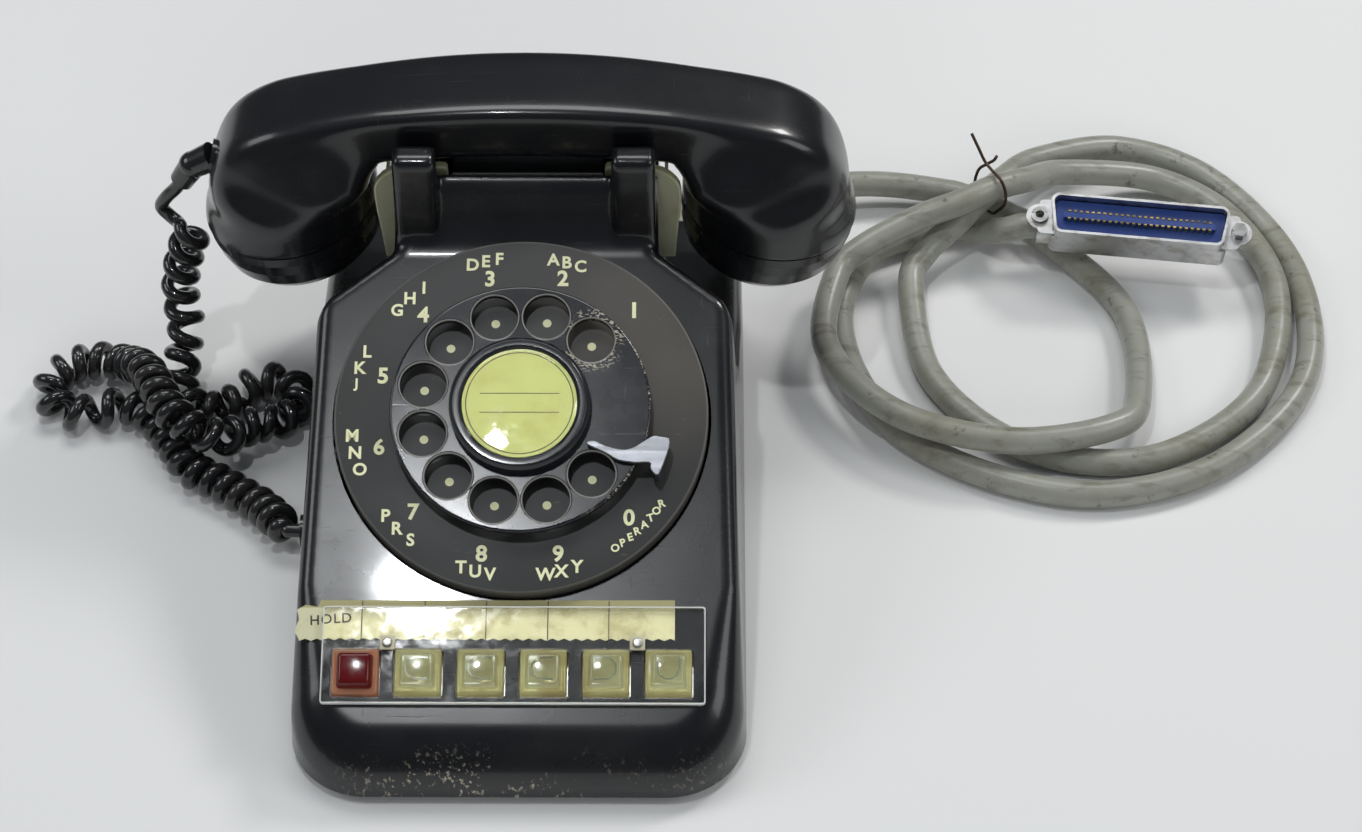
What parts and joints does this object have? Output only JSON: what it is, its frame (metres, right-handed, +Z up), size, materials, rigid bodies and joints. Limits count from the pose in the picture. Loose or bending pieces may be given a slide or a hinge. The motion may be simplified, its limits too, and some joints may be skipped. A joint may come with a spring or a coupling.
{
  "type": "multi-line rotary telephone",
  "caption": "Black desk telephone with a rotary dial, a row of lit line keys, a handset on its cradle, a curly cord and a line cable that ends in a ribbon connector.",
  "frame": {"origin": "bottom centre of the telephone without its cords, on the plane of its feet", "axes": "+X to the right for a person who faces the dial, +Y from the key row to the rear, +Z up"},
  "size_m": [0.4818, 0.316, 0.1366],
  "materials": {
    "black_plastic": "moulded, high gloss, worn",
    "plated_steel": "zinc plated, dull",
    "rubber": "matt",
    "screw_steel": "plated",
    "plate_grey": "satin dark grey with cream figures",
    "steel": "bright, worn",
    "brass": "satin",
    "spring_steel": "blued",
    "contact_metal": "nickel silver",
    "card": "printed card, matt",
    "clear_plastic": "clear",
    "pink_clear_plastic": "clear, tinted",
    "red_plastic": "translucent red",
    "yellow_clear_plastic": "clear, yellowed",
    "pale_clear_plastic": "clear, pale",
    "cream_plastic": "satin",
    "paper": "matt, aged",
    "lamp_glass": "clear",
    "aluminium": "satin",
    "cord_black": "soft vinyl, glossy",
    "block_plastic": "matt",
    "coil_winding": "enamelled wire, varnished",
    "cable_grey": "vinyl, satin, soiled",
    "blue_plastic": "moulded, satin",
    "gold_contact": "gold plated",
    "dark_wire": "tarnished"
  },
  "bodies": {
    "phone": {"housing": "black_plastic", "base_plate": "plated_steel", "rubber_feet": "rubber", "housing_screws": "screw_steel", "number_plate": "plate_grey", "finger_stop": "steel", "dial_frame": "plated_steel", "dial_brackets": "plated_steel", "mainspring": "spring_steel", "pulse_contacts": "contact_metal", "key_frame": "plated_steel", "face_plate": "clear_plastic", "face_plate_clips": "cream_plastic", "designation_strip": "paper", "key_lamps": "lamp_glass", "key_contacts": "contact_metal", "hook_bracket": "plated_steel", "hook_contacts": "contact_metal", "network_block": "block_plastic", "ringer_frame": "plated_steel", "ringer_coil": "coil_winding", "gong_left": "brass", "gong_right": "brass", "handset_cord": "cord_black", "cord_grommet": "cord_black", "line_cable": "cable_grey", "cable_clamp": "cord_black", "connector_shell": "plated_steel", "connector_insulator": "blue_plastic", "connector_contacts": "gold_contact", "connector_screws": "screw_steel", "wire_tie": "dark_wire"},
    "dial": {"finger_wheel": "black_plastic", "card_ring": "black_plastic", "number_card": "card", "card_window": "clear_plastic", "dial_shaft": "steel", "main_gear": "brass"},
    "pinion": {"pulsing_pinion": "brass"},
    "governor_rotor": {"governor": "brass"},
    "hold_key": {"hold_button": "pink_clear_plastic", "hold_lens": "red_plastic"},
    "line_key_1": {"line_button_1": "yellow_clear_plastic"},
    "line_key_2": {"line_button_2": "yellow_clear_plastic"},
    "line_key_3": {"line_button_3": "yellow_clear_plastic"},
    "line_key_4": {"line_button_4": "yellow_clear_plastic"},
    "line_key_5": {"line_button_5": "yellow_clear_plastic"},
    "latch": {"latch_bar": "plated_steel"},
    "handset": {"handset_handle": "black_plastic", "transmitter_cap": "black_plastic", "receiver_cap": "black_plastic", "transmitter_unit": "aluminium", "receiver_unit": "aluminium", "handset_boot": "cord_black"},
    "left_plunger": {"plunger_left": "pale_clear_plastic"},
    "right_plunger": {"plunger_right": "pale_clear_plastic"},
    "switch_lever": {"hook_lever": "plated_steel"},
    "clapper_arm": {"clapper": "steel"},
    "loudness_knob": {"loudness_wheel": "black_plastic"}
  },
  "joints": [
    {"name": "dial_spin", "type": "hinge", "parent": "phone", "child": "dial", "pos_m": [0, -0.0053, 0.0662], "axis": [0, 0.3746, -0.9272], "range_deg": [0, 330], "stiffness_Nm_per_rad": 0.004, "springref_deg": -171.89},
    {"name": "pinion_spin", "type": "hinge", "parent": "phone", "child": "pinion", "pos_m": [-0.01962, -0.01825, 0.04587], "axis": [0, 0.3746, -0.9272], "range_deg": [-1320, 0]},
    {"name": "governor_spin", "type": "hinge", "parent": "phone", "child": "governor_rotor", "pos_m": [-0.01022, -0.0347, 0.03275], "axis": [0, 0.3746, -0.9272], "range_deg": [0, 3960]},
    {"name": "hold_press", "type": "slide", "parent": "phone", "child": "hold_key", "axis": [0, 0.3746, -0.9272], "range_m": [0, 0.0045], "stiffness_N_per_m": 250, "springref_m": -0.002},
    {"name": "line_1_press", "type": "slide", "parent": "phone", "child": "line_key_1", "axis": [0, 0.3746, -0.9272], "range_m": [0, 0.0045], "stiffness_N_per_m": 250, "springref_m": -0.002},
    {"name": "line_2_press", "type": "slide", "parent": "phone", "child": "line_key_2", "axis": [0, 0.3746, -0.9272], "range_m": [0, 0.0045], "stiffness_N_per_m": 250, "springref_m": -0.002},
    {"name": "line_3_press", "type": "slide", "parent": "phone", "child": "line_key_3", "axis": [0, 0.3746, -0.9272], "range_m": [0, 0.0045], "stiffness_N_per_m": 250, "springref_m": -0.002},
    {"name": "line_4_press", "type": "slide", "parent": "phone", "child": "line_key_4", "axis": [0, 0.3746, -0.9272], "range_m": [0, 0.0045], "stiffness_N_per_m": 250, "springref_m": -0.002},
    {"name": "line_5_press", "type": "slide", "parent": "phone", "child": "line_key_5", "axis": [0, 0.3746, -0.9272], "range_m": [0, 0.0045], "stiffness_N_per_m": 250, "springref_m": -0.002},
    {"name": "latch_slide", "type": "slide", "parent": "phone", "child": "latch", "axis": [1, 0, 0], "range_m": [0, 0.0015]},
    {"name": "handset_lift", "type": "slide", "parent": "phone", "child": "handset", "axis": [0, 0, 1], "range_m": [0, 0.04], "deforming": ["handset_cord"]},
    {"name": "left_plunger_slide", "type": "slide", "parent": "phone", "child": "left_plunger", "axis": [0, 0, 1], "range_m": [0, 0.006]},
    {"name": "right_plunger_slide", "type": "slide", "parent": "phone", "child": "right_plunger", "axis": [0, 0, 1], "range_m": [0, 0.006]},
    {"name": "hook_lever_turn", "type": "hinge", "parent": "phone", "child": "switch_lever", "pos_m": [0, 0.104, 0.045], "axis": [-1, 0, 0], "range_deg": [0, 12]},
    {"name": "clapper_swing", "type": "hinge", "parent": "phone", "child": "clapper_arm", "pos_m": [-0.0195, 0.071, 0.0175], "axis": [0, 0, 1], "range_deg": [-3, 3], "stiffness_Nm_per_rad": 0.002},
    {"name": "loudness_turn", "type": "hinge", "parent": "phone", "child": "loudness_knob", "pos_m": [-0.06, 0.028, 0.0081], "axis": [0, 0, 1], "range_deg": [-90, 90]}
  ],
  "couplings": [
    {"joint": "pinion_spin", "follows": "dial_spin", "ratio": -4},
    {"joint": "governor_spin", "follows": "dial_spin", "ratio": 12},
    {"joint": "latch_slide", "follows": "hold_press", "ratio": 0.33333},
    {"joint": "left_plunger_slide", "follows": "handset_lift", "ratio": 0.15},
    {"joint": "right_plunger_slide", "follows": "handset_lift", "ratio": 0.15},
    {"joint": "hook_lever_turn", "follows": "handset_lift", "rad_per_m": 5.236}
  ]
}
